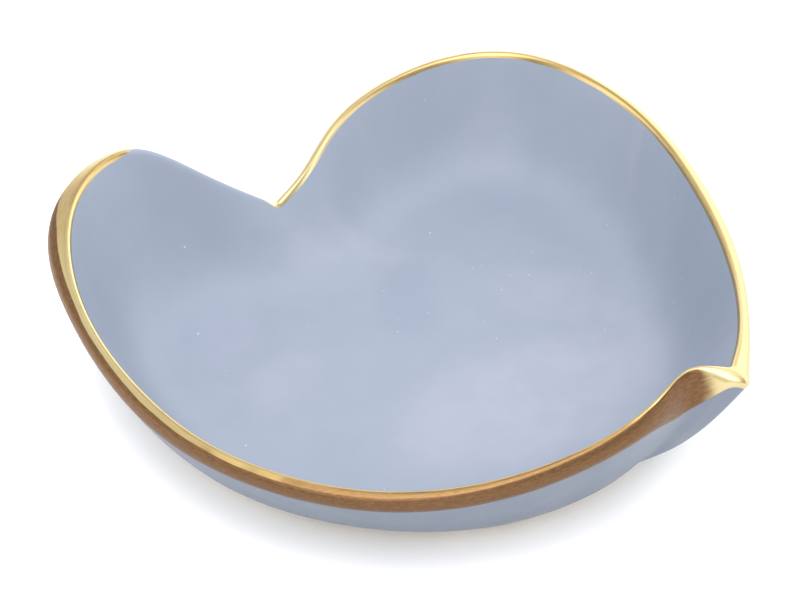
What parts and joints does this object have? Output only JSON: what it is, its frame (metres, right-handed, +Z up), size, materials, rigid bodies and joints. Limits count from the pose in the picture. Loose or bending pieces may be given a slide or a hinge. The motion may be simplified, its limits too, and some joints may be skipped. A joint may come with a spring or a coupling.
{
  "type": "ring dish",
  "caption": "Heart-shaped ring dish: a shallow hand-formed bowl with a raised lobe, a low notch, a pinched tip and a gold lip, for rings and small jewellery.",
  "frame": {"origin": "middle of the dish's bounding box in plan, on the plane that the foot ring stands on", "axes": "+Z up; +Y from the tip towards the notch, in plan; +X towards the right lobe, seen from above with the notch at the back"},
  "size_m": [0.1198, 0.1198, 0.0302],
  "materials": {
    "clay": "unglazed fired clay, matt",
    "inside_glaze": "pale blue-grey gloss glaze",
    "outside_glaze": "pale blue-grey gloss glaze",
    "gold": "brushed-on gold lustre, polished"
  },
  "bodies": {
    "root": {"clay_body": "clay", "inner_glaze": "inside_glaze", "outer_glaze": "outside_glaze", "gold_rim": "gold"}
  },
  "joints": []
}
